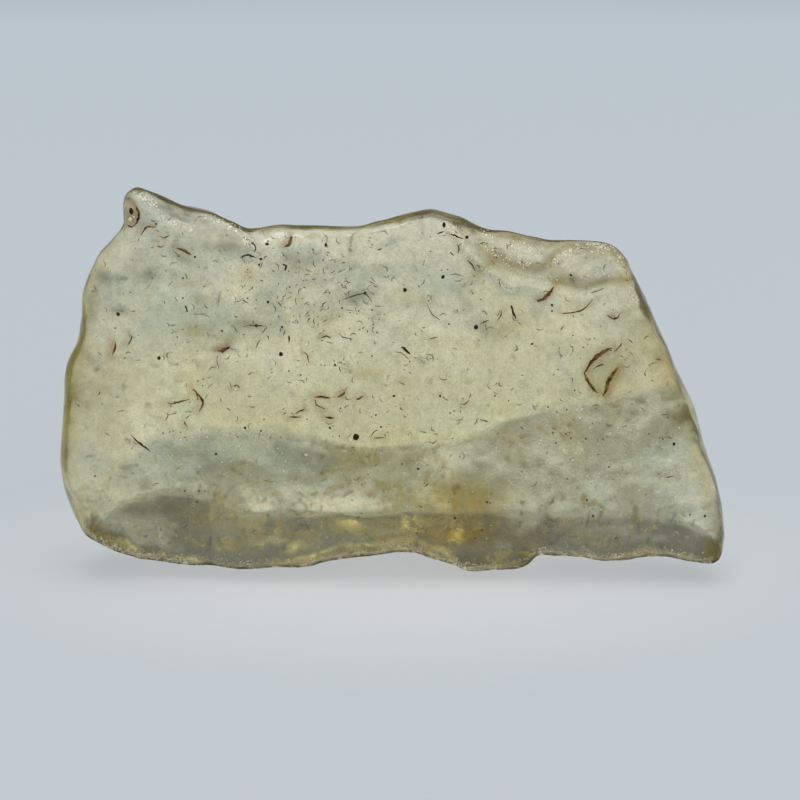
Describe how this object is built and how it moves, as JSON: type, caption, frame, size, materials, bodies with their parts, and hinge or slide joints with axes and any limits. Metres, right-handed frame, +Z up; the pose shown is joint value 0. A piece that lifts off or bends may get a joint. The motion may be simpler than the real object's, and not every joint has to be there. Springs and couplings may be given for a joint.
{
  "type": "libyan desert glass",
  "caption": "Wind-worn slab of pale yellow-green natural silica glass with facets, a rounded rim and small crescent cracks, standing on its lower edge.",
  "frame": {"origin": "on the ground, under the middle of the stone's box", "axes": "+X along the slab's length, to the right as seen from its broad front face; -Y out of that front face; +Z up"},
  "size_m": [0.0398, 0.013, 0.0231],
  "materials": {
    "desert_glass": "satin"
  },
  "bodies": {
    "root": {"desert_glass": "desert_glass"}
  },
  "joints": []
}
